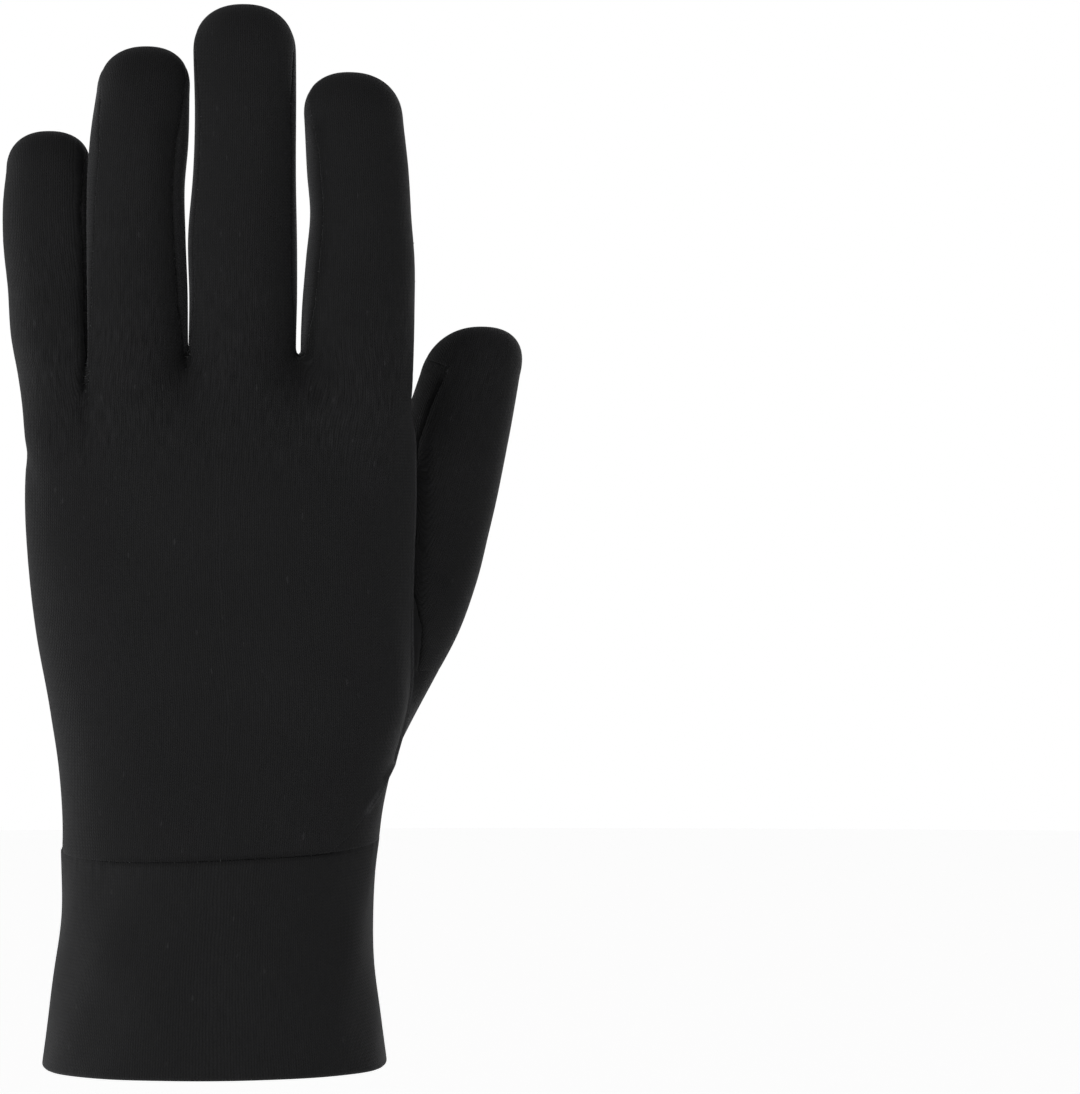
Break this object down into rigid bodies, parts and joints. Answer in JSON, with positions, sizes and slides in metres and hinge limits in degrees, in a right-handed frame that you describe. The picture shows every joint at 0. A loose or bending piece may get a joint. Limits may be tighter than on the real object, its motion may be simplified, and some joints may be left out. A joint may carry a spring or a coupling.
{
  "type": "left-hand knit dress glove",
  "caption": "Left-hand jersey knit dress glove with side strips between the fingers, a set-in thumb and a long doubled cuff, held in its worn shape.",
  "frame": {"origin": "middle of the cuff's opening, where the hand goes in, level with the cuff's lower edge", "axes": "+Z from the cuff to the fingertips, +Y out of the palm, +X towards the thumb"},
  "size_m": [0.1256, 0.0596, 0.2547],
  "materials": {
    "jersey_knit": "matt brushed jersey with fine upright ribs and a soft sheen at the edges",
    "cuff_knit": "matt doubled jersey, slightly smoother than the hand",
    "side_strip_knit": "matt stretch jersey with its ribs across the finger",
    "seam_thread": "matt spun sewing thread"
  },
  "bodies": {
    "root": {"cuff": "cuff_knit", "back_panel": "jersey_knit", "palm_panel": "jersey_knit", "thumb_panel": "jersey_knit", "fourchette_index_middle": "side_strip_knit", "fourchette_middle_ring": "side_strip_knit", "fourchette_ring_little": "side_strip_knit"}
  },
  "joints": []
}
